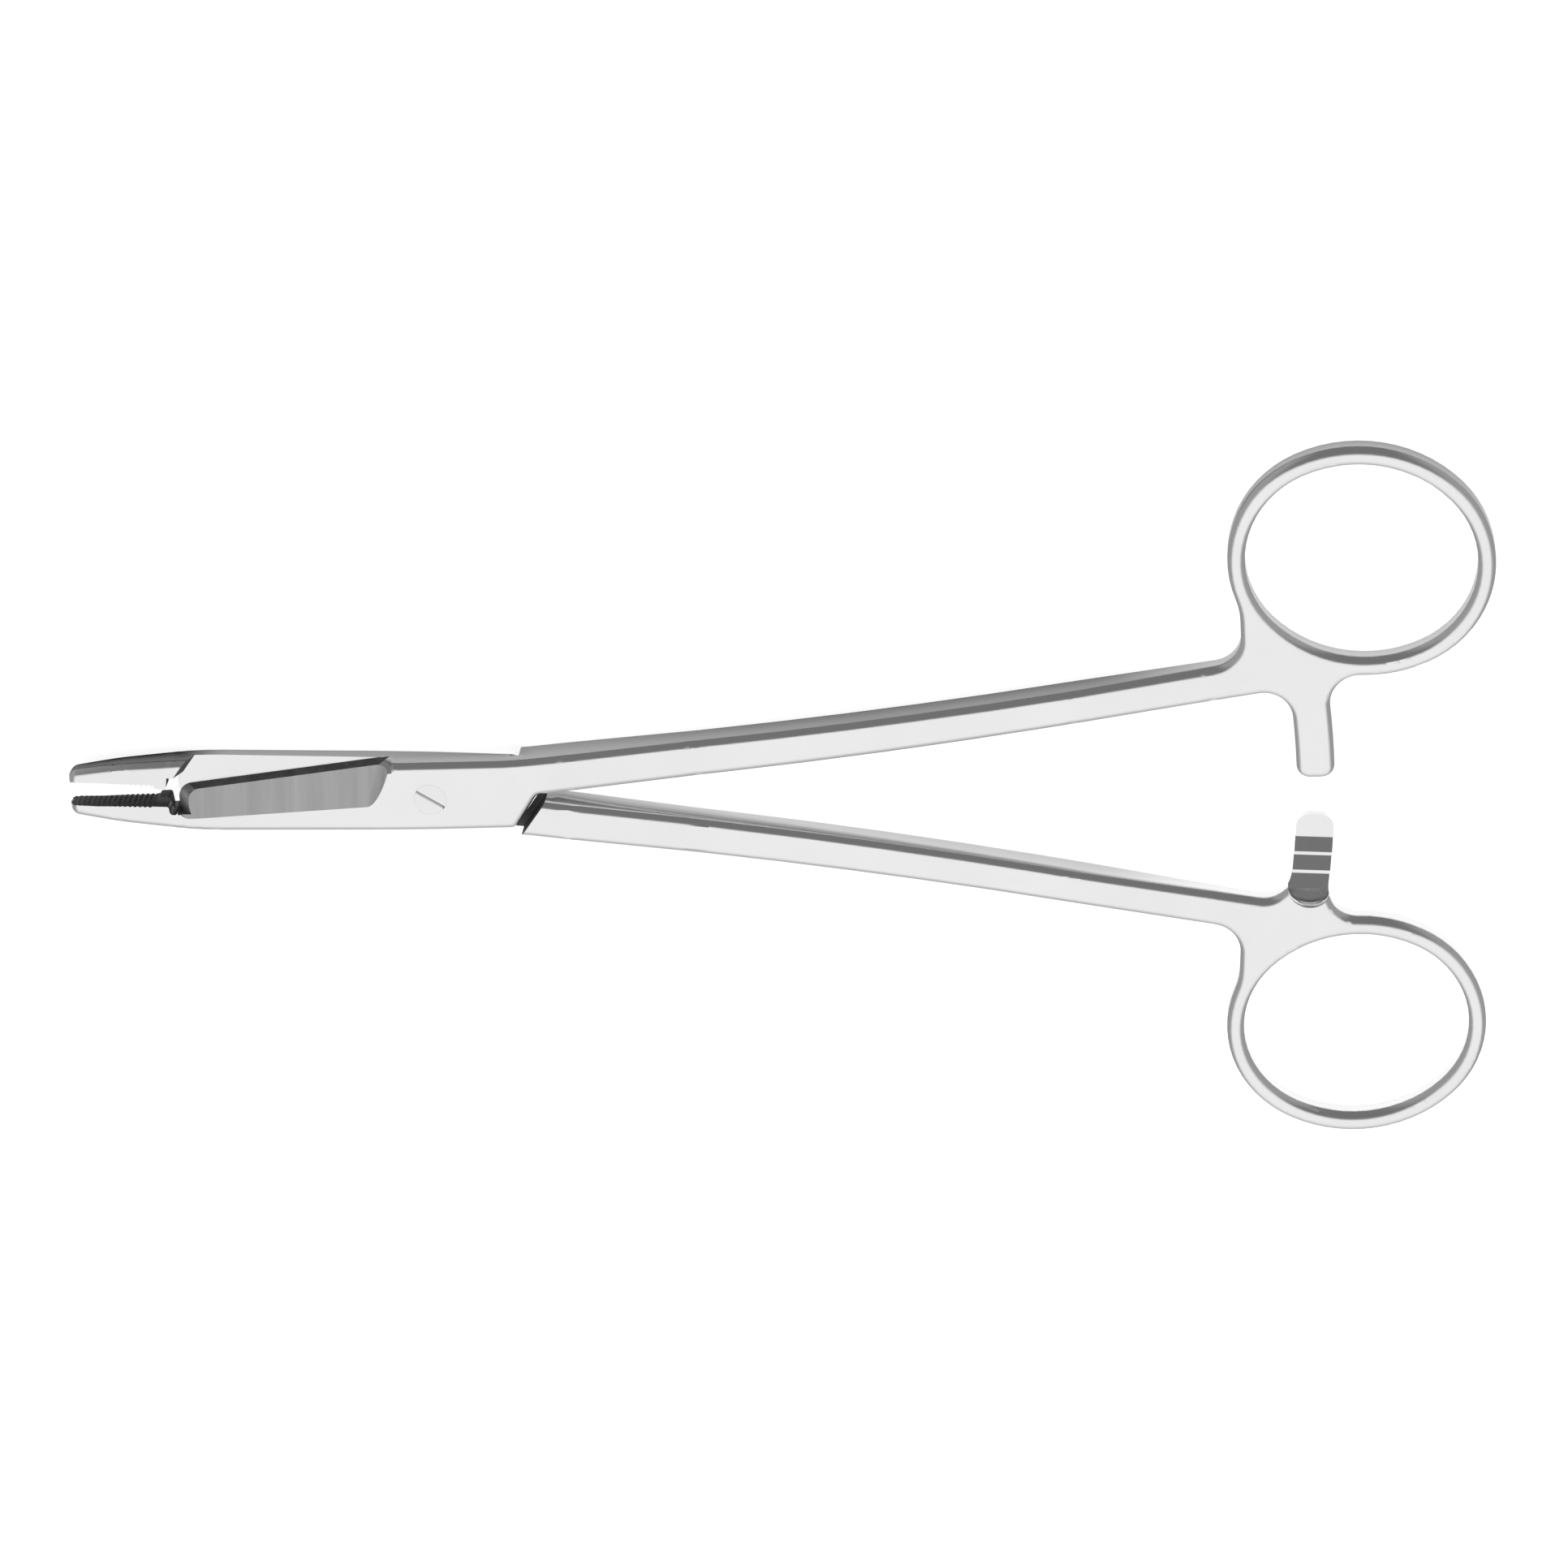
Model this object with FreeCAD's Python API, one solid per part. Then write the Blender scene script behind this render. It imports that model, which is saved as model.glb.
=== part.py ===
import FreeCAD, Part

import math
import os
from FreeCAD import Vector

# A surgical needle holder with suture scissors behind its jaws, in millimetres.
# Two limbs of the same forging cross in a lap joint and turn on one slotted screw. The limb is drawn once,
# closed, about the joint: its handle lies at +X +Y, its jaw at -X -Y, and it is the front one at the lap.
# Turned half over about X the same forging is the rear limb.
# The origin is the joint's axis on the face that the instrument rests on, +X towards the rings, +Z up.

# Length of the limb along X, from the joint
tip_x = -42.8
heel_x = -31.0
nose_x = -30.0
lap_left_x = -5.5
lap_right_x = 9.65
shank_mid_x = 53.0

# The ratchet arm's distance from the joint, and how far the rest of the handle lies from the arm
arm_inner_radius = 100.25
shank_flat_from_arm = 25.75
ring_flat_from_arm = 9.75
web_from_arm = 5.87
recess_from_arm = 1.88
shank_end_from_arm = 2.75
ring_from_arm = 7.93
shank_end_x = arm_inner_radius + shank_end_from_arm
ring_x = arm_inner_radius + ring_from_arm
web_x = arm_inner_radius - web_from_arm
recess_x = arm_inner_radius + recess_from_arm

# Jaw and lap in plan, from the line through the joint and the closed jaws
jaw_tip_y = -1.45
jaw_mid_x = -37.0
jaw_mid_y = -2.55
blade_back_x = -27.5
blade_back_y = -3.68
lap_lower_y = -4.15
lap_upper_y = 4.35
cut_nose_y = 1.6
cut_lap_y = 4.45

# Shank, its centre line and width
shank_root_x = 12.4
shank_root_y = 2.17
shank_mid_y = 5.94
shank_end_y = 13.07
shank_root_width = 4.3
shank_mid_width = 4.1
shank_end_width = 3.95

# Radii of the outline's corners and gentle bends
jaw_tip_radius = 1.15
jaw_bend_radius = 50.0
blade_bend_radius = 60.0
lap_bend_radius = 200.0
shank_bend_radius = 750.0
shank_root_radius = 1.0
lap_crown_radius = 9.0
taper_bend_radius = 120.0
nose_radius = 1.75

# Half of the thickness, and where along X it changes
jaw_tip_half = 1.25
jaw_heel_half = 2.1
lap_half = 2.55
shank_half = 2.2
ring_half = 1.9
blade_taper_x = -29.0
lap_flat_left_x = -6.5
lap_flat_right_x = 16.0
shank_flat_left_x = 31.0
shank_flat_right_x = arm_inner_radius - shank_flat_from_arm
ring_flat_x = arm_inner_radius - ring_flat_from_arm
lap_gap = 0.06
edge_round = 0.93

# Jaws
tip_clearance = 0.025
heel_clearance = 0.35
notch_depth = 1.05
lug_height = 0.42
lug_length = 1.6
serration_pitch = 0.6
serration_depth = 0.15
serration_count = 16
serration_rows = 6

# Scissor blade: a wide ground face that falls towards the cutting edge, then a steep land
land_height = 1.0
land_run = 0.45
nose_run = 0.85
edge_thickness = 0.05
grind_angle = 18.5
grind_end_x = -4.2
grind_end_turn = 20.0
grind_left_y = -2.0
grind_right_x = -5.95
grind_right_y = -0.75
grind_cove = 2.0

# Shoulders of the lap on the back: the jaw's one slants, the shank's one is upright with a relief at its foot
jaw_shoulder_low = Vector(-26.4, -5.87, 0)
jaw_shoulder_high = Vector(-30.9, 0.93, 0)
shoulder_slant = 0.75
shank_shoulder_low = Vector(17.3, -6.0, 0)
shank_shoulder_high = Vector(8.2, 8.0, 0)
relief_width = 0.9
relief_depth = 0.45

# Ring and ratchet
ring_y = 25.89
ring_tilt = -11.77
ring_inner_long = 13.12
ring_inner_short = 11.82
ring_inner_end_radius = 11.2
ring_band = 1.98
web_low_y = 12.9
web_high_y = 21.2
arm_width = 4.35
arm_tip_y = -0.53
arm_root_y = 14.9
recess_width = 5.2
recess_end_y = 10.52
tooth_cap = 2.8
tooth_pitch = 2.35
tooth_crest = 0.4
tooth_depth = 0.85
tooth_count = 4

# Inside corners of the forging: shank to web, web to ring, arm to shank, arm to ring, and the arm's own tip
web_root_radius = 3.5
web_ring_radius = 8.0
arm_inner_root_y = 10.8
arm_inner_root_radius = 3.3
arm_outer_root_y = 12.8
arm_outer_root_radius = 3.5
arm_tip_radius = 1.5

# Joint screw
head_diameter = 3.8
head_height = 1.1
shaft_diameter = 2.8
thread_diameter = 2.5
screw_clearance = 0.03
head_clearance = 0.012
slot_width = 0.35
slot_depth = 0.6
slot_angle = -32.0

# Opening of each limb from closed, as the instrument lies at rest
rest_angle = 1.8

deep = 4 * lap_half
beyond = 8.0


def corner_path(corners):
    """Closed wire of straight runs through the corners (x, y, radius), each rounded by a tangent arc."""
    count = len(corners)
    starts, ends, middles = [], [], []
    for i, (x, y, radius) in enumerate(corners):
        here = Vector(x, y, 0)
        before = Vector(*corners[i - 1][:2], 0) - here
        after = Vector(*corners[(i + 1) % count][:2], 0) - here
        before.normalize()
        after.normalize()
        half = before.getAngle(after) / 2
        reach = radius / math.tan(half)
        starts.append(here + before * reach)
        ends.append(here + after * reach)
        inward = (before + after).normalize()
        middles.append(here + inward * (radius / math.sin(half) - radius))
    edges = []
    for i, (x, y, radius) in enumerate(corners):
        if radius:
            edges.append(Part.Arc(starts[i], middles[i], ends[i]).toShape())
        run_end = starts[(i + 1) % count]
        if (run_end - ends[i]).Length > 1e-6:
            edges.append(Part.LineSegment(ends[i], run_end).toShape())
    return Part.Wire(edges)


def plate(corners, low=-deep, high=deep):
    """A flat plate between two heights, its plan given by rounded corners."""
    face = Part.Face(corner_path(corners))
    face.translate(Vector(0, 0, low))
    return face.extrude(Vector(0, 0, high - low))


def oval_plate(extra):
    """An oval plate of four tangent arcs on the ring's centre, larger than its opening by extra all round."""
    long_half = ring_inner_long + extra
    short_half = ring_inner_short + extra
    end_radius = ring_inner_end_radius + extra
    end_centre = long_half - end_radius
    side_radius = (end_centre**2 + short_half**2 - end_radius**2) / (2 * (short_half - end_radius))
    lean = math.atan2(side_radius - short_half, end_centre)
    x = end_centre + end_radius * math.cos(lean)
    y = end_radius * math.sin(lean)
    joins = [Vector(x, y, 0), Vector(-x, y, 0), Vector(-x, -y, 0), Vector(x, -y, 0)]
    tops = [
        Vector(0, short_half, 0),
        Vector(-long_half, 0, 0),
        Vector(0, -short_half, 0),
        Vector(long_half, 0, 0),
    ]
    arcs = [Part.Arc(joins[i], tops[i], joins[(i + 1) % 4]).toShape() for i in range(4)]
    oval = Part.Face(Part.Wire(arcs))
    oval.rotate(Vector(0, 0, 0), Vector(0, 0, 1), ring_tilt)
    oval.translate(Vector(ring_x, ring_y, -deep))
    return oval.extrude(Vector(0, 0, 2 * deep))


def grip_y(x):
    """The gripping line of the closed jaw: the tips meet first, and the heels stand a little apart."""
    share = (x - tip_x) / (heel_x - tip_x)
    return -tip_clearance - share * (heel_clearance - tip_clearance)


def cut_y(x):
    """The cutting edge, a straight line that rises from the nose to the lap."""
    share = (x - nose_x) / (lap_left_x - nose_x)
    return cut_nose_y + share * (cut_lap_y - cut_nose_y)


def body_plate():
    """Jaw, blade, lap and shank in plan. The inner side of jaw and blade is left wide, to be cut later."""
    return plate([
        (tip_x, cut_lap_y + 1, 0),
        (tip_x, jaw_tip_y, jaw_tip_radius),
        (jaw_mid_x, jaw_mid_y, jaw_bend_radius),
        (blade_back_x, blade_back_y, blade_bend_radius),
        (0, lap_lower_y, lap_bend_radius),
        (lap_right_x, lap_lower_y, shank_root_radius),
        (shank_root_x, shank_root_y - shank_root_width / 2, shank_root_radius),
        (shank_mid_x, shank_mid_y - shank_mid_width / 2, shank_bend_radius),
        (shank_end_x, shank_end_y - shank_end_width / 2, 0),
        (shank_end_x, shank_end_y + shank_end_width / 2, 0),
        (shank_mid_x, shank_mid_y + shank_mid_width / 2, shank_bend_radius),
        (lap_right_x, lap_upper_y, blade_bend_radius),
        (lap_left_x + 1, cut_lap_y, lap_crown_radius),
        (lap_left_x - 3, cut_lap_y + 1, lap_crown_radius),
    ])


def arm_plate():
    """The ratchet arm in plan: part of a band about the joint, so that the two arms slide over each other."""
    outer = Part.makeCylinder(arm_inner_radius + arm_width, 2 * deep, Vector(0, 0, -deep))
    inner = Part.makeCylinder(arm_inner_radius, 2 * deep, Vector(0, 0, -deep))
    corner = Vector(arm_inner_radius - arm_width, arm_tip_y, -deep)
    window = Part.makeBox(3 * arm_width, arm_root_y - arm_tip_y, 2 * deep, corner)
    return outer.cut(inner).common(window)


def side_profile():
    """The limb seen from the side: thick at the lap, thinner towards the jaw's tip and the ring."""
    upper = [
        (tip_x - 1, jaw_tip_half, 0),
        (blade_taper_x, jaw_heel_half, taper_bend_radius),
        (lap_flat_left_x, lap_half, taper_bend_radius),
        (lap_flat_right_x, lap_half, taper_bend_radius),
        (shank_flat_left_x, shank_half, taper_bend_radius),
        (shank_flat_right_x, shank_half, taper_bend_radius),
        (ring_flat_x, ring_half, taper_bend_radius),
        (ring_x + 2 * ring_inner_long, ring_half, 0),
    ]
    lower = [(x, -z, radius) for x, z, radius in reversed(upper)]
    face = Part.Face(corner_path(upper + lower))
    face.rotate(Vector(0, 0, 0), Vector(1, 0, 0), 90)
    reach = ring_y + 2 * ring_inner_long
    face.translate(Vector(0, reach, 0))
    return face.extrude(Vector(0, -2 * reach, 0))


def upright_edge(shape, x, y):
    """The upright edge of a plate that is nearest to a place in plan."""
    found = []
    for edge in shape.Edges:
        low = edge.Vertexes[0].Point
        high = edge.Vertexes[-1].Point
        if abs(high.z - low.z) > deep:
            found.append((math.hypot(low.x - x, low.y - y), edge.hashCode(), edge))
    return min(found)[2]


def rim(shape):
    """The edges where the flat faces meet the outline, which the forging has rounded."""
    edges = []
    for edge in shape.Edges:
        faces = shape.ancestorsOfType(edge, Part.Face)
        middle = edge.valueAt((edge.FirstParameter + edge.LastParameter) / 2)
        upright = sorted(abs(face.normalAt(*face.Surface.parameter(middle)).z) for face in faces)
        inner_side = middle.y > cut_lap_y + 0.5 and middle.x < 0
        if upright[0] < 0.1 and upright[-1] > 0.9 and not inner_side:
            edges.append(edge)
    return edges


def blank():
    """The forging before any cut: plan and side view crossed, its inside corners and its rim rounded."""
    web = plate([
        (web_x, web_low_y, 0),
        (shank_end_x, web_low_y, 0),
        (shank_end_x, web_high_y, 0),
        (web_x, web_high_y, 0),
    ])
    shape = body_plate().fuse([oval_plate(ring_band), web, arm_plate()]).cut(oval_plate(0)).removeSplitter()
    arm_outer_radius = arm_inner_radius + arm_width
    for x, y, radius in [
        (web_x, web_low_y + 1, web_root_radius),
        (web_x, web_high_y, web_ring_radius),
        (arm_inner_radius, arm_inner_root_y, arm_inner_root_radius),
        (arm_outer_radius, arm_outer_root_y, arm_outer_root_radius),
        (arm_inner_radius, arm_tip_y, arm_tip_radius),
        (arm_outer_radius, arm_tip_y, arm_tip_radius),
    ]:
        shape = shape.makeFillet(radius, [upright_edge(shape, x, y)])
    shape = shape.common(side_profile())
    return shape.makeFillet(edge_round, rim(shape))


def jaw_cut():
    """What is cut from the inner side: grip, notch, nose and edge in front, grip and lug at the back."""
    left = tip_x - 2
    notch_y = grip_y(heel_x) - notch_depth
    front = plate([
        (left, beyond, 0),
        (left, grip_y(left), 0),
        (heel_x, grip_y(heel_x), 0.3),
        (heel_x + 0.1, notch_y, 0.4),
        (nose_x, notch_y, 0.4),
        (nose_x, cut_y(nose_x), nose_radius),
        (lap_left_x + 4, cut_y(lap_left_x + 4), 0),
        (lap_left_x + 4, beyond, 0),
    ], 0, deep)
    lug_left = heel_x - lug_length
    lug_y = grip_y(heel_x) + lug_height
    back = plate([
        (left, beyond, 0),
        (left, grip_y(left), 0),
        (lug_left, grip_y(lug_left), 0.2),
        (lug_left + 0.15, lug_y, 0.35),
        (heel_x - 0.15, lug_y, 0.35),
        (heel_x, notch_y, 0),
        (nose_x + 4, notch_y, 0),
        (nose_x + 4, beyond, 0),
    ], -deep, 0)
    return front.fuse(back)


def serrations():
    """Two combs of V grooves that cross at right angles on the gripping face."""
    length = serration_count * serration_pitch
    across = [Vector(0, 0, -deep)]
    for i in range(serration_count):
        across.append(Vector((i + 0.5) * serration_pitch, -serration_depth, -deep))
        across.append(Vector((i + 1) * serration_pitch, 0, -deep))
    across += [Vector(length, 1, -deep), Vector(0, 1, -deep), across[0]]
    comb_across = Part.Face(Part.makePolygon(across)).extrude(Vector(0, 0, 2 * deep))
    half = serration_rows * serration_pitch / 2
    along = [Vector(0, 0, -half)]
    for i in range(serration_rows):
        along.append(Vector(0, -serration_depth, (i + 0.5) * serration_pitch - half))
        along.append(Vector(0, 0, (i + 1) * serration_pitch - half))
    along += [Vector(0, 1, half), Vector(0, 1, -half), along[0]]
    comb_along = Part.Face(Part.makePolygon(along)).extrude(Vector(length, 0, 0))
    slope = math.degrees(math.atan2(grip_y(heel_x) - grip_y(tip_x), heel_x - tip_x))
    combs = []
    for comb in (comb_across, comb_along):
        comb.rotate(Vector(0, 0, 0), Vector(0, 0, 1), slope)
        comb.translate(Vector(tip_x + 0.3, grip_y(tip_x + 0.3), 0))
        combs.append(comb)
    return combs


def land_cut():
    """What is cut to leave the steep land along the nose and the cutting edge."""
    slope = math.atan2(cut_lap_y - cut_nose_y, lap_left_x - nose_x)
    wires = []
    for level in (0, 3):
        side = level * nose_run
        down = level * land_run / math.cos(slope)
        right = grind_end_x + 1
        wire = corner_path([
            (nose_x + side, -beyond, 0),
            (nose_x + side, cut_y(nose_x + side) - down, nose_radius + 0.3 * level),
            (right, cut_y(right) - down, 0),
            (right, -beyond, 0),
        ])
        wire.translate(Vector(0, 0, lap_gap / 2 + edge_thickness + level * land_height))
        wires.append(wire)
    blade = Part.makeLoft(wires, True, True)
    low = lap_gap / 2 + edge_thickness
    bottom = grip_y(heel_x) - notch_depth
    space = Part.makeBox(grind_end_x - nose_x, beyond - bottom, 2.9, Vector(nose_x, bottom, low))
    return space.cut(blade)


def grind_cut():
    """What is cut to leave the wide ground face, with a cove where the grinding ran out towards the lap."""
    slope = math.degrees(math.atan2(cut_lap_y - cut_nose_y, lap_left_x - nose_x))
    length = 1.3 * (grind_end_x - nose_x)
    block = Part.makeBox(length, 3 * beyond, beyond, Vector(-length, -2 * beyond, 0))
    floor_end = []
    for edge in block.Edges:
        if all(vertex.Point.x == 0 and vertex.Point.z == 0 for vertex in edge.Vertexes):
            floor_end.append(edge)
    block = block.makeFillet(grind_cove, floor_end)
    block.rotate(Vector(0, 0, 0), Vector(0, 0, 1), -grind_end_turn)
    block.rotate(Vector(0, 0, 0), Vector(1, 0, 0), -grind_angle)
    block.rotate(Vector(0, 0, 0), Vector(0, 0, 1), slope)
    block.translate(Vector(grind_end_x, cut_y(grind_end_x) - land_run, lap_gap / 2 + land_height))
    outline = plate([
        (nose_x, beyond, 0),
        (nose_x, grind_left_y, 1.5),
        (grind_right_x, grind_right_y, 3.0),
        (grind_right_x + (beyond - grind_right_y) * math.tan(math.radians(grind_end_turn)), beyond, 0),
    ])
    return block.common(outline)


def lap_cut():
    """What is cut from the back between the two shoulders, down to the lap's face; one shoulder slants."""
    along = jaw_shoulder_high - jaw_shoulder_low
    across = Vector(along.y, -along.x, 0).normalize()
    wires = []
    for height in (lap_gap / 2, -deep):
        lean = across * (shoulder_slant * (height - lap_gap / 2) / jaw_heel_half)
        low = jaw_shoulder_low + lean
        high = jaw_shoulder_high + lean
        wire = corner_path([
            (low.x, low.y, 0),
            (high.x, high.y, 0),
            (high.x, beyond, 0),
            (shank_shoulder_high.x, shank_shoulder_high.y, 0),
            (shank_shoulder_low.x, shank_shoulder_low.y, 0),
        ])
        wire.translate(Vector(0, 0, height))
        wires.append(wire)
    return Part.makeLoft(wires, True, True)


def relief_cut():
    """The relief along the foot of the shank's shoulder, a little deeper than the lap's face."""
    along = shank_shoulder_high - shank_shoulder_low
    away = Vector(-along.y, along.x, 0).normalize() * relief_width
    corners = [shank_shoulder_low, shank_shoulder_high, shank_shoulder_high + away, shank_shoulder_low + away]
    return plate([(corner.x, corner.y, 0) for corner in corners], -deep, lap_gap / 2 + relief_depth)


def ratchet_cut():
    """What is cut from the back of the ratchet arm: a round-ended recess to half thickness, and its teeth."""
    radius = recess_width / 2
    left = recess_x - radius
    right = recess_x + radius
    bottom = arm_tip_y - 2
    recess_outline = [
        (left, bottom, 0),
        (right, bottom, 0),
        (right, recess_end_y, radius - 0.01),
        (left, recess_end_y, radius - 0.01),
    ]
    low = lap_gap / 2
    recess = plate(recess_outline, -deep, low)
    within = plate(recess_outline)
    tools = [recess]
    for i in range(tooth_count):
        start = arm_tip_y + tooth_cap + i * tooth_pitch
        end = start + tooth_pitch - tooth_crest
        valley = Part.Face(Part.makePolygon([
            Vector(left, start, low - 0.1),
            Vector(left, start, low + tooth_depth),
            Vector(left, end, low),
            Vector(left, end, low - 0.1),
            Vector(left, start, low - 0.1),
        ]))
        tools.append(valley.extrude(Vector(recess_width, 0, 0)).common(within))
    return tools


def hole(diameter, low, high):
    """A round cut on the joint's axis between two heights."""
    return Part.makeCylinder(diameter / 2, high - low, Vector(0, 0, low))


def limb():
    """One limb, closed and in front, before its hole is drilled."""
    shape = blank()
    for tool in [jaw_cut(), land_cut(), grind_cut(), lap_cut(), relief_cut()] + ratchet_cut() + serrations():
        shape = shape.cut(tool)
    return shape


def screw():
    """The joint screw: a slotted head, the shaft the front limb turns on, and the end in the rear limb."""
    head_low = lap_half - head_height
    shape = hole(head_diameter, head_low, lap_half)
    shape = shape.fuse(hole(shaft_diameter, -lap_gap / 2, head_low))
    shape = shape.fuse(hole(thread_diameter, -lap_half, -lap_gap / 2))
    slot = Part.makeBox(2 * head_diameter, slot_width, slot_depth + 1)
    slot.translate(Vector(-head_diameter, -slot_width / 2, lap_half - slot_depth))
    slot.rotate(Vector(0, 0, 0), Vector(0, 0, 1), slot_angle)
    return shape.cut(slot).removeSplitter()


def main():
    forging = limb()
    seat = hole(head_diameter + 2 * head_clearance, lap_half - head_height - screw_clearance, deep)
    front = forging.cut(seat).cut(hole(shaft_diameter + 2 * screw_clearance, -deep, deep))
    front.rotate(Vector(0, 0, 0), Vector(0, 0, 1), rest_angle)
    rear = forging.cut(hole(thread_diameter, -deep, deep))
    rear.rotate(Vector(0, 0, 0), Vector(1, 0, 0), 180)
    rear.rotate(Vector(0, 0, 0), Vector(0, 0, 1), -rest_angle)
    os.makedirs("parts", exist_ok=True)
    for name, shape in [("front_limb", front), ("rear_limb", rear), ("pivot_screw", screw())]:
        shape.translate(Vector(0, 0, lap_half))
        shape.exportStep("parts/" + name + ".step")
        print(name, shape.isValid(), len(shape.Solids), "solid", round(shape.Volume, 1), "mm3")


if __name__ == "__main__":
    main()
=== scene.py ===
# %% [markdown]
# # A surgical needle holder, finished in Blender
# The solid pieces of this instrument come from CAD: two forged limbs and the screw that joins them. This
# lesson dresses them. It gives the steel a smooth skin, a satin polish and grinding marks, and then lights
# it as a catalogue does: from above, on a white table.

# %% Load the solid pieces
import math

import bpy
import numpy as np
from mathutils import Matrix, Vector


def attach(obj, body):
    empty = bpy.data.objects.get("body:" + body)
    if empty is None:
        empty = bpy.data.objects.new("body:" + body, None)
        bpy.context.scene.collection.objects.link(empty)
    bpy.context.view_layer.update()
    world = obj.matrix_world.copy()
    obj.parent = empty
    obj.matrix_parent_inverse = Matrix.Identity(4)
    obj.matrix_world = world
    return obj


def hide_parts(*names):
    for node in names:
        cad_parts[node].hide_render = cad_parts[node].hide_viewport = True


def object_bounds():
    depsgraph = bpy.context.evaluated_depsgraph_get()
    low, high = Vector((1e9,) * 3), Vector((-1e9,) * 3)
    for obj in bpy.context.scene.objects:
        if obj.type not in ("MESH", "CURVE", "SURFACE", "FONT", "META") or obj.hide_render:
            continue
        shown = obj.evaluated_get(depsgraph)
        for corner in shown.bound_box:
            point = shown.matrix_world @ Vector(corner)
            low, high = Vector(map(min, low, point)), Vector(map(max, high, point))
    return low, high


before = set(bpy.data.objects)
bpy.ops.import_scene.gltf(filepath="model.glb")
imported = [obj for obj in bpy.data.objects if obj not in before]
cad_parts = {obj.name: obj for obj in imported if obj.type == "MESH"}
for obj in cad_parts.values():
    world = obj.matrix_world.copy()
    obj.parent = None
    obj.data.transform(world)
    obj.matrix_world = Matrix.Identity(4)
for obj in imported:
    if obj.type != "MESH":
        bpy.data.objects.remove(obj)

cad_box = [list(corner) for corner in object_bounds()]
print("pieces from CAD:", sorted(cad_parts))

# %% [markdown]
# ## A smooth skin over the solid pieces
# The pieces arrive as loose flat triangles, so a rounded rim shows facets in its reflections. One could cut
# the triangles finer, but polished steel shows even small ones. Here each piece is built again from the same
# points: points at one place are joined, edges with a real crease stay sharp, and the rest is shaded smooth.
# The flat faces are given the most weight, so that a small rounding beside a large flat doesn't bend the
# flat's reflection.

# %% Join the triangles of a piece
crease_angle = math.radians(17)
join_digits = 7
flats_weight = 100


def joined_triangles(source):
    """Unique points, and triangles as rows of three point numbers, of a mesh of loose triangles."""
    mesh = source.data
    mesh.calc_loop_triangles()
    places = np.empty(3 * len(mesh.vertices), np.float32)
    mesh.vertices.foreach_get("co", places)
    corners = np.empty(3 * len(mesh.loop_triangles), np.int32)
    mesh.loop_triangles.foreach_get("vertices", corners)
    rounded = np.round(places.reshape(-1, 3).astype(float), join_digits)
    points, number = np.unique(rounded, axis=0, return_inverse=True)
    triangles = number.reshape(-1)[corners].reshape(-1, 3)
    first, second, third = triangles.T
    whole = (first != second) & (second != third) & (third != first)
    return points, triangles[whole]


def even_normals(piece):
    """Leans each corner's normal to its largest face. A modifier works the normals out and then goes."""
    even = piece.modifiers.new("even flats", "WEIGHTED_NORMAL")
    even.mode = "FACE_AREA"
    even.weight = flats_weight
    even.keep_sharp = True
    evaluated = piece.evaluated_get(bpy.context.evaluated_depsgraph_get()).data
    normals = np.empty(3 * len(evaluated.loops), np.float32)
    evaluated.corner_normals.foreach_get("vector", normals)
    piece.modifiers.remove(even)
    piece.data.normals_split_custom_set(normals.reshape(-1, 3).tolist())


def smooth_piece(node, name, body):
    """The node's surface as a new smooth piece that rides on its body and stands in the node's place."""
    points, triangles = joined_triangles(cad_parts[node])
    mesh = bpy.data.meshes.new(name)
    mesh.from_pydata(points.tolist(), [], triangles.tolist())
    mesh.shade_smooth()
    mesh.set_sharp_from_angle(angle=crease_angle)
    piece = bpy.data.objects.new(name, mesh)
    bpy.context.scene.collection.objects.link(piece)
    even_normals(piece)
    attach(piece, body)
    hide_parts(node)
    print(name, len(points), "points", len(triangles), "triangles")
    return piece


front = smooth_piece("front_limb", "front_limb_steel", "front")
rear = smooth_piece("rear_limb", "rear_limb_steel", "rear")
screw = smooth_piece("pivot_screw", "pivot_screw_steel", "rear")

# %% [markdown]
# ## Writing a finish as arithmetic
# A finish is a net of small nodes. Wiring each by hand hides the idea behind it, so two small helpers let a
# finish be written as a formula: a Signal is a value that changes over the surface, and sums and products of
# signals add the Math nodes that work them out.

# %% Signals and their graph


class Signal:
    """One value in a shader. Arithmetic with numbers or other signals adds Math nodes."""

    def __init__(self, graph, socket):
        self.graph = graph
        self.socket = socket

    def math(self, operation, first, second):
        return self.graph.node("ShaderNodeMath", {"operation": operation}, {0: first, 1: second})

    def __add__(self, other):
        return self.math("ADD", self, other)

    def __radd__(self, other):
        return self.math("ADD", other, self)

    def __sub__(self, other):
        return self.math("SUBTRACT", self, other)

    def __rsub__(self, other):
        return self.math("SUBTRACT", other, self)

    def __mul__(self, other):
        return self.math("MULTIPLY", self, other)

    def __rmul__(self, other):
        return self.math("MULTIPLY", other, self)


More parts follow.
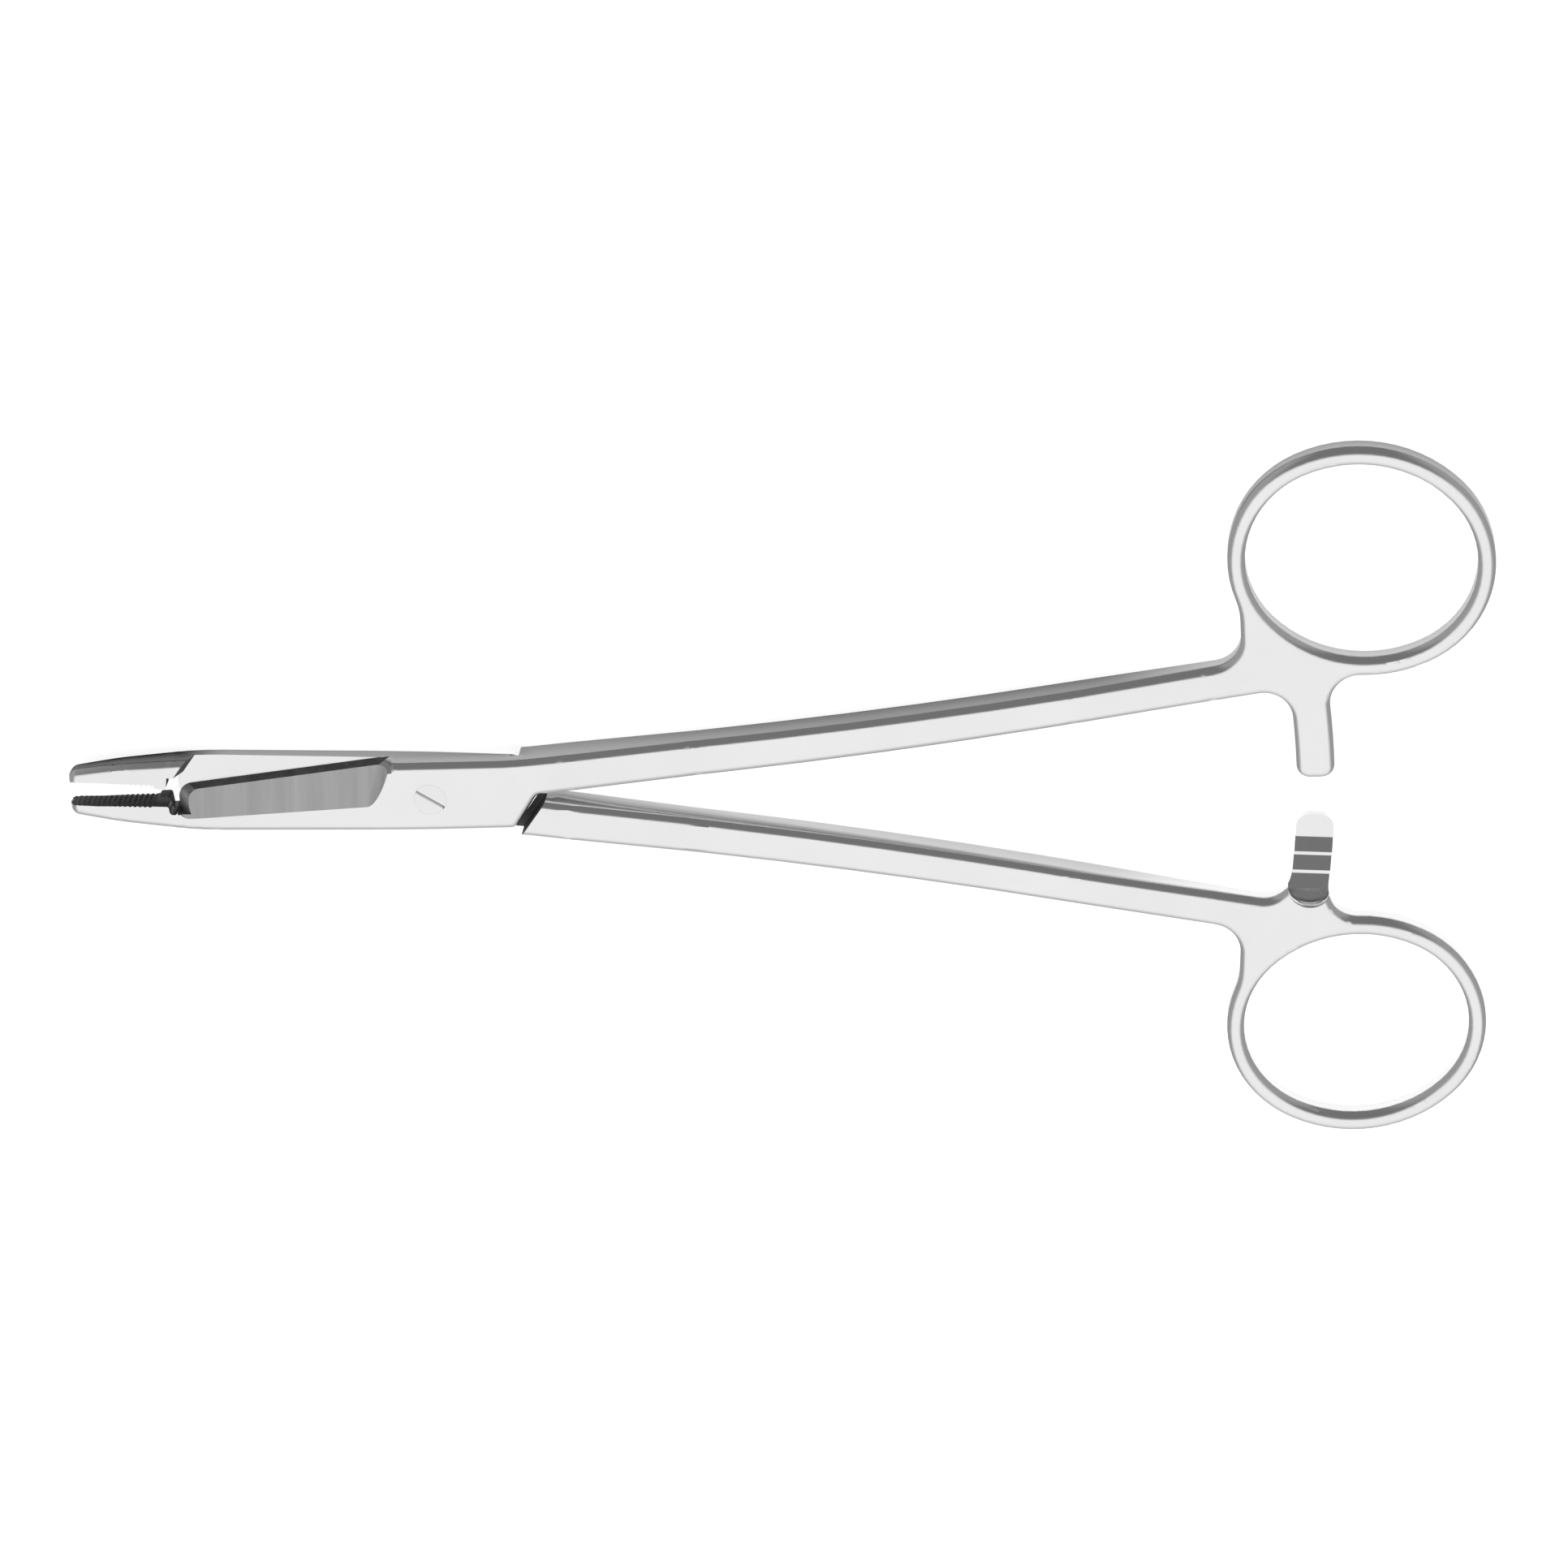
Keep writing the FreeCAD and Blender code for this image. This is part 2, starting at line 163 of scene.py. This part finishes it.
class Graph:
    """The node tree of one material or of the surroundings."""

    def __init__(self, tree):
        self.tree = tree
        tree.nodes.clear()

    def node(self, kind, settings, sockets, output=0):
        """Adds a node, sets it up, then fills its sockets with values or signals, and returns one output."""
        made = self.tree.nodes.new(kind)
        for name, value in settings.items():
            setattr(made, name, value)
        for name, value in sockets.items():
            if isinstance(value, Signal):
                self.tree.links.new(value.socket, made.inputs[name])
            else:
                made.inputs[name].default_value = value
        return Signal(self, made.outputs[output]) if made.outputs else None

    def blend(self, share, first, second):
        """A colour between two others. A Mix node has its colours in sockets 6 and 7, and in output 2."""
        return self.node("ShaderNodeMix", {"data_type": "RGBA"}, {0: share, 6: first, 7: second}, 2)

    def smooth_step(self, value, start, end, low=0.0, high=1.0):
        """A value that goes gently from low at start to high at end."""
        return self.node("ShaderNodeMapRange", {"interpolation_type": "SMOOTHSTEP"}, {
            "Value": value, "From Min": start, "From Max": end, "To Min": low, "To Max": high,
        })

    def grain(self, stretch, scale, detail=2.0):
        """Noise about zero, from object coordinates drawn out by a factor along each axis."""
        place = self.node("ShaderNodeTexCoord", {}, {}, "Object")
        drawn = self.node("ShaderNodeMapping", {}, {"Vector": place, "Scale": stretch})
        noise = self.node("ShaderNodeTexNoise", {}, {"Vector": drawn, "Scale": scale, "Detail": detail})
        return noise - 0.5


# %% [markdown]
# ## Satin-polished stainless steel
# The real instrument is ground, tumbled and then brushed to a satin that doesn't glare under a theatre lamp.
# Steel has no colour of its own to speak of: nearly all that one sees is the room in it. So the base colour
# is a plain light grey, and the life is in the roughness: fine hairs along the limb, broader cloudy patches
# from the polishing wheel, and a few handling scuffs. The scales count the patches of noise in a metre.

# %% The steel's finish
even_grain = (1, 1, 1)
along_the_limb = (0.04, 1, 1)
scuff_stretch = (0.35, 1, 1)
hair_scale = 9000
cloud_scale = 110
scuff_scale = 700
scuff_start = 0.14
scuff_end = 0.3
hair_roughness = 0.05
cloud_roughness = 0.06
scuff_roughness = 0.08
hair_strength = 0.12
hair_depth = 0.00002
cool_blue = 1.01


def steel(name, tone, shade, roughness, hair_stretch):
    """Metal whose roughness is a base value plus hairs, clouds and scuffs. The hairs are fine relief too."""
    material = bpy.data.materials.new(name)
    material.use_nodes = True
    graph = Graph(material.node_tree)
    hairs = graph.grain(hair_stretch, hair_scale)
    clouds = graph.grain(even_grain, cloud_scale, 3.0)
    scuffs = graph.smooth_step(graph.grain(scuff_stretch, scuff_scale, 4.0), scuff_start, scuff_end)
    bright = (tone, tone, tone, 1)
    dull = (shade, shade, shade * cool_blue, 1)
    wear = hairs * hair_roughness + clouds * cloud_roughness + scuffs * scuff_roughness
    relief = {"Height": hairs, "Strength": hair_strength, "Distance": hair_depth}
    surface = graph.node("ShaderNodeBsdfPrincipled", {}, {
        "Metallic": 1.0,
        "Base Color": graph.blend(clouds + 0.5, bright, dull),
        "Roughness": roughness + wear,
        "Normal": graph.node("ShaderNodeBump", {}, relief),
    })
    graph.node("ShaderNodeOutputMaterial", {}, {"Surface": surface})
    print("finish", name)
    return material


satin = steel("satin_steel", tone=0.86, shade=0.80, roughness=0.17, hair_stretch=along_the_limb)
turned = steel("turned_steel", tone=0.85, shade=0.79, roughness=0.18, hair_stretch=even_grain)

# %% [markdown]
# ## Unpolished places, and places given painted shade
# A satin wheel can't get into every corner. The wide face of each scissor blade was ground on its own,
# across its length, so it is greyer and streaked. The serrated grips are cut after the polish and stay matt;
# their dark tone is painted shade, and the heel of the notch and the last crest of the catch get the same
# shaded matt steel. The shoulders, the nose, the relief by the shank and the steep land along the cutting
# edge are painted shade: a dark, dull, non-metal finish that stands for the shade in and beside the gaps.
# Each could be a patch laid over the steel, but it is the same forging, so its own triangles are sorted by
# place and slope.

# %% Finishes for the unpolished places and for painted shade
across_the_blade = (1, 0.05, 0.05)
band_width = 4
band_tone = 1.1
streak_tone = 0.7
streak_roughness = 0.1
streak_strength = 0.3


def plain_steel(name, light, dark, roughness, stretch, scale, depth, metal=1.0, gloss=0.5):
    """Unpolished steel: streaks of noise in tone, roughness and relief, over bands of the same direction."""
    material = bpy.data.materials.new(name)
    material.use_nodes = True
    graph = Graph(material.node_tree)
    streaks = graph.grain(stretch, scale, 3.0)
    bands = graph.grain(stretch, scale / band_width, 1.0)
    tone = bands * band_tone + streaks * streak_tone + 0.5
    relief = {"Height": streaks, "Strength": streak_strength, "Distance": depth}
    surface = graph.node("ShaderNodeBsdfPrincipled", {}, {
        "Metallic": metal,
        "Specular IOR Level": gloss,
        "Base Color": graph.blend(tone, (dark, dark, dark, 1), (light, light, light, 1)),
        "Roughness": roughness + streaks * streak_roughness,
        "Normal": graph.node("ShaderNodeBump", {}, relief),
    })
    graph.node("ShaderNodeOutputMaterial", {}, {"Surface": surface})
    print("finish", name)
    return material


ground = plain_steel(
    "ground_steel", light=0.9, dark=0.7, roughness=0.5, stretch=across_the_blade, scale=2400, depth=0.00003,
)
# Matt cut steel whose dark tone is painted shade, for the grips' serrations, the notch's heel and the catch's
# last crest.
matt_with_painted_shade = plain_steel(
    "matt_grip_steel_painted_shade", light=0.34, dark=0.22, roughness=0.4, stretch=even_grain, scale=6000, depth=0.00002,
)
# Painted shade: a dark, dull, non-metal finish for the shoulders, the nose, the relief and the steep land.
painted_shade = plain_steel(
    "painted_shade_dark", light=0.2, dark=0.1, roughness=0.7, stretch=even_grain, scale=3000, depth=0.00001,
    metal=0.0, gloss=0.1,
)

# %% Turn a limb into its own frame
rest_angle = math.radians(1.8)
lap_middle = round(cad_box[1][2] / 2, 6)
print("the lap's middle is at", lap_middle, "m")


def own_frame(rows, side):
    """Points or directions of a limb at rest, in the frame of the closed limb seen from its own outer face.

    The front limb (side 1) is only turned back by the rest angle. The rear one (side -1) is the same forging
    turned half over about X, so its Y and Z change sign.
    """
    turn = -side * rest_angle
    x = rows[:, 0] * math.cos(turn) - rows[:, 1] * math.sin(turn)
    y = rows[:, 0] * math.sin(turn) + rows[:, 1] * math.cos(turn)
    return x, side * y, side * rows[:, 2]


# %% Sort the triangles of a limb
# Places are in millimetres from the middle of the joint: X towards the rings, Y inwards, Z outwards.
blade_x = (-30.1, -4.0)
blade_back_y = -2.1
blade_floor_z = 0.05
land_end_x = -5.5
nose_end_x = -28
nose_x = (-30.4, -29.5)
heel_x = (-31.3, -30.4)
notch_y = (-1.6, 2.0)
grip_x = (-42.7, -31.2)
grip_y = (-0.7, 0.1)
jaw_shoulder_x = (-33, -25)
jaw_shoulder_z = 0.02
shank_shoulder_x = (7, 16)
shank_shoulder_y = (-5, 5)
shoulder_foot_z = 0.6
relief_z = (0.04, 0.6)
last_crest_x = (98, 108)
last_crest_y = (8.9, 9.34)
last_crest_z = -0.3

# Slopes are parts of a triangle's direction, from -1 to 1. A flat face has an upward part of 1.
blade_slope = (0.55, 0.995)
inward_slope = 0.5
nose_slope = 0.2
notch_slope = (-0.4, 0.4)
grip_inward_slope = 0.3
grip_slope = (-0.95, 0.95)
shoulder_slope = 0.4
jaw_shoulder_slope = (-0.6, 0.6)
shank_shoulder_slope = (-0.3, 0.3)
relief_slope = (-0.8, 0.8)
crest_slope = -0.9


def between(values, limits):
    """True where a value is above the lower limit and under the upper one."""
    return (values > limits[0]) & (values < limits[1])


def sort_finishes(piece, side):
    """Gives each triangle the number of its finish: 0 satin, 1 ground, 2 matt with painted shade, 3 painted
    shade.
    """
    mesh = piece.data
    count = len(mesh.polygons)
    normals = np.empty(3 * count, np.float32)
    centres = np.empty(3 * count, np.float32)
    mesh.polygons.foreach_get("normal", normals)
    mesh.polygons.foreach_get("center", centres)
    places = 1000 * (centres.reshape(-1, 3) - np.array([0, 0, lap_middle]))
    x, y, z = own_frame(places, side)
    across, inward, up = own_frame(normals.reshape(-1, 3), side)
    blade = between(x, blade_x) & (y > blade_back_y) & (z > blade_floor_z)
    ground_face = blade & between(up, blade_slope)
    at_the_nose = (x < nose_end_x) & (np.abs(across) > nose_slope)
    steep = (up <= blade_slope[0]) & ((inward > inward_slope) | at_the_nose)
    land = blade & (x < land_end_x) & steep
    notch_wall = between(y, notch_y) & between(up, notch_slope)
    nose = between(x, nose_x) & notch_wall
    heel = between(x, heel_x) & notch_wall
    teeth_place = between(x, grip_x) & between(y, grip_y)
    grip = teeth_place & (inward > grip_inward_slope) & between(up, grip_slope)
    jaw_shoulder = between(x, jaw_shoulder_x) & (z < jaw_shoulder_z)
    jaw_shoulder &= (across > shoulder_slope) & between(up, jaw_shoulder_slope)
    by_the_shank = between(x, shank_shoulder_x)
    shank_shoulder = by_the_shank & between(y, shank_shoulder_y) & (z < shoulder_foot_z)
    shank_shoulder &= (across < -shoulder_slope) & between(up, shank_shoulder_slope)
    relief = by_the_shank & between(z, relief_z) & between(inward, relief_slope)
    # The catch's last crest gets painted shade: it lies in shade by the arm's root.
    last_crest = between(x, last_crest_x) & between(y, last_crest_y) & (z > last_crest_z)
    last_crest &= up < crest_slope
    finish = np.zeros(count, np.int32)
    finish[ground_face] = 1
    # Finish 2 is matt steel with painted shade on the grips, the heel of the notch and the last crest.
    finish[grip | heel | last_crest] = 2
    # Finish 3 is painted shade on the land, the nose, both shoulders and the relief by the shank.
    finish[land | nose | jaw_shoulder | shank_shoulder | relief] = 3
    mesh.polygons.foreach_set("material_index", finish)
    print(piece.name, "triangles of each finish:", np.bincount(finish, minlength=4).tolist())


for limb, side in [(front, 1), (rear, -1)]:
    for finish in (satin, ground, matt_with_painted_shade, painted_shade):
        limb.data.materials.append(finish)
    sort_finishes(limb, side)
screw.data.materials.append(turned)

# %% [markdown]
# ## Side walls that swell a little
# The solid limb has flat side walls under a rounded rim. On the real one tumbling in abrasive stones has
# taken that rounding on down the wall, so that it mirrors the table at its foot and the dim side of the room
# at its top. The walls could be given more rows of points, but the change is too small to show in the
# outline. So only the shading directions of the wall's upper corners are raised, and those of the rim less
# and less towards the flat. The underside keeps its plain shading.

# %% Raise the shading directions of the upper rim
blade_swell = math.radians(24)
ring_swell = math.radians(42)
swell_x = (0.08, 0.095)
wall_middle = lap_middle + 0.0004
least_rise = -0.05
least_level = 0.02


def swell_walls(piece):
    """Raises each upper corner's direction by the swell times how level it is. The swell grows at the rings.

    The new rise's sine is the direction's upward part. Its cosine is the level part, in the old heading.
    """
    mesh = piece.data
    count = len(mesh.loops)
    normals = np.empty(3 * count, np.float32)
    corners = np.empty(count, np.int32)
    places = np.empty(3 * len(mesh.vertices), np.float32)
    finish = np.empty(len(mesh.polygons), np.int32)
    mesh.corner_normals.foreach_get("vector", normals)
    mesh.loops.foreach_get("vertex_index", corners)
    mesh.vertices.foreach_get("co", places)
    mesh.polygons.foreach_get("material_index", finish)
    normals = normals.reshape(-1, 3)
    along, _, height = places.reshape(-1, 3)[corners].T
    swell = np.interp(along, swell_x, [blade_swell, ring_swell])
    level = np.hypot(normals[:, 0], normals[:, 1])
    rise = np.arctan2(normals[:, 2], level)
    satin_corner = np.repeat(finish, 3) == 0
    leaning = level > least_level
    upper = (height > wall_middle) & (rise > least_rise) & leaning & satin_corner
    new_rise = np.where(upper, rise + swell * (1 - rise / (math.pi / 2)), rise)
    scale = np.where(leaning, np.cos(new_rise) / np.maximum(level, least_level), 1.0)
    raised = normals.copy()
    raised[:, :2] *= scale[:, None]
    raised[:, 2] = np.where(leaning, np.sin(new_rise), normals[:, 2])
    mesh.normals_split_custom_set(raised.tolist())
    print(piece.name, "raised corners:", int(upper.sum()))


swell_walls(front)
swell_walls(rear)

# %% [markdown]
# ## The white table
# The table is a large plain sheet. A white surface under soft light comes out light grey, so part of its
# white is given off by the sheet itself, to the camera only, and the rest is lit, so that the shadow under
# the instrument stays. The steel's walls mirror the sheet beside them. One even sheet would make all the
# walls alike, but in the photograph those of the rings, the blades and the lower limb are brighter than those
# of the jaws and the upper shank. So what the sheet gives to reflections changes with place, and by the jaws
# and the upper shank it takes a little away.

# %% Table
table_half = 3.0
table_drop = 0.00002
table_colour = (0.7, 0.7, 0.7, 1)
camera_glow = 0.84
jaw_end = -0.031
jaw_glow = -0.16
blade_start = -0.024
blade_glow = 0.17
shank_start = 0.0
shank_full = 0.05
shank_glow = -0.13
ring_start = 0.075
ring_full = 0.095
ring_glow = 0.38
lower_start = 0.002
lower_full = -0.003
lower_glow = 0.44
beyond_start = 0.030
beyond_full = 0.040
beyond_glow = -0.22


def mirrored_glow(graph):
    """What the sheet adds in reflections: the sum of three gentle steps along it and two across it."""
    place = graph.node("ShaderNodeTexCoord", {}, {}, "Object")
    along = graph.node("ShaderNodeSeparateXYZ", {}, {"Vector": place}, "X")
    across = graph.node("ShaderNodeSeparateXYZ", {}, {"Vector": place}, "Y")
    by_the_blades = graph.smooth_step(along, jaw_end, blade_start, jaw_glow, blade_glow)
    by_the_shanks = graph.smooth_step(along, shank_start, shank_full, 0.0, shank_glow)
    by_the_rings = graph.smooth_step(along, ring_start, ring_full, 0.0, ring_glow)
    by_the_lower_limb = graph.smooth_step(across, lower_start, lower_full, 0.0, lower_glow)
    beyond_the_ring = graph.smooth_step(across, beyond_start, beyond_full, 0.0, beyond_glow)
    return by_the_blades + by_the_shanks + by_the_rings + by_the_lower_limb + beyond_the_ring


def table():
    """A level square just under the instrument, lit white, that glows for the camera and for reflections."""
    corners = [(-table_half, -table_half, -table_drop), (table_half, -table_half, -table_drop)]
    corners += [(table_half, table_half, -table_drop), (-table_half, table_half, -table_drop)]
    mesh = bpy.data.meshes.new("table")
    mesh.from_pydata(corners, [], [(0, 1, 2, 3)])
    sheet = bpy.data.objects.new("table", mesh)
    bpy.context.scene.collection.objects.link(sheet)
    material = bpy.data.materials.new("white_table")
    material.use_nodes = True
    graph = Graph(material.node_tree)
    direct = graph.node("ShaderNodeLightPath", {}, {}, "Is Camera Ray")
    mirrored = graph.node("ShaderNodeLightPath", {}, {}, "Is Glossy Ray")
    glow = direct * camera_glow + mirrored * mirrored_glow(graph)
    matte = graph.node("ShaderNodeBsdfDiffuse", {}, {"Color": table_colour})
    white = graph.node("ShaderNodeEmission", {}, {"Color": (1, 1, 1, 1), "Strength": glow})
    both = graph.node("ShaderNodeAddShader", {}, {0: matte, 1: white})
    graph.node("ShaderNodeOutputMaterial", {}, {"Surface": both})
    mesh.materials.append(material)
    print("table", 2 * table_half, "m wide")


table()

# %% [markdown]
# ## The light
# Polished steel is lit by what it mirrors. Lamps would do, but each would show as a spot in the steel, so the
# room's own brightness is the light. A wide soft panel overhead, reaching down on the side away from the
# camera, makes the flat faces white. The side towards the camera and the two ends are left dim, and the
# rounded rims mirror them as the dark lines that draw the instrument's outline.

# %% Surroundings
panel_level = 1.0
dim_level = 0.19
dim_start = math.radians(-2)
dim_end = math.radians(14)
end_start = 0.3
end_full = 0.62
end_level = 0.36
low_start = math.radians(-31)
low_end = math.radians(-80)
low_level = 0.5


def surroundings():
    """Brightness by direction: full overhead, less low towards -Y and at both ends, and least towards +Y."""
    world = bpy.data.worlds.new("studio")
    bpy.context.scene.world = world
    world.use_nodes = True
    graph = Graph(world.node_tree)
    direction = graph.node("ShaderNodeTexCoord", {}, {}, "Generated")
    x = graph.node("ShaderNodeSeparateXYZ", {}, {"Vector": direction}, "X")
    y = graph.node("ShaderNodeSeparateXYZ", {}, {"Vector": direction}, "Y")
    z = graph.node("ShaderNodeSeparateXYZ", {}, {"Vector": direction}, "Z")
    lean = graph.node("ShaderNodeMath", {"operation": "ARCTAN2"}, {0: y, 1: z})
    reach = graph.node("ShaderNodeMath", {"operation": "ABSOLUTE"}, {0: x})
    towards_camera = graph.smooth_step(lean, dim_start, dim_end, panel_level, dim_level)
    to_the_ends = graph.smooth_step(reach, end_start, end_full)
    low_down = graph.smooth_step(lean, low_end, low_start, low_level, 1.0)
    between_the_ends = towards_camera * low_down
    level = between_the_ends + to_the_ends * (end_level - between_the_ends)
    light = graph.node("ShaderNodeBackground", {}, {"Color": (1, 1, 1, 1), "Strength": level})
    graph.node("ShaderNodeOutputWorld", {}, {"Surface": light})
    print("surroundings ready")


surroundings()
bpy.context.scene.view_settings.view_transform = "Standard"

# %% [markdown]
# ## The camera
# The picture is taken from above, leaning over the upper ring's side, with a long lens. Three turns give the
# direction: a tilt about X, a small turn that sees slightly past the rings, and a roll of the picture.

# %% Camera
tilt = math.radians(25)
turn = 0.0844972
roll = 0.0034090
distance = 0.660
aim_right = 0.04089
aim_up = 0.00076
joint_middle = Vector((0, 0, lap_middle))
lens = 130.06
nearest = 0.01


def camera():
    """The view is the tilt, then the turn, then the roll. The camera is its inverse, drawn back."""
    tilting = Matrix.Rotation(tilt, 3, "X")
    turning = Matrix.Rotation(-turn, 3, "Y")
    rolling = Matrix.Rotation(-roll, 3, "Z")
    view = rolling @ turning @ tilting
    place = view.transposed() @ Vector((aim_right, aim_up, distance)) + joint_middle
    eye = bpy.data.objects.new("camera", bpy.data.cameras.new("camera"))
    eye.data.lens = lens
    eye.data.clip_start = nearest
    eye.matrix_world = Matrix.Translation(place) @ view.transposed().to_4x4()
    bpy.context.scene.collection.objects.link(eye)
    bpy.context.scene.camera = eye
    print("camera at", [round(v, 4) for v in place])


camera()

# %% [markdown]
# ## The size
# The dressed model should fill the same box as the solid one.

# %% Bring the scene up to date
bpy.context.view_layer.update()
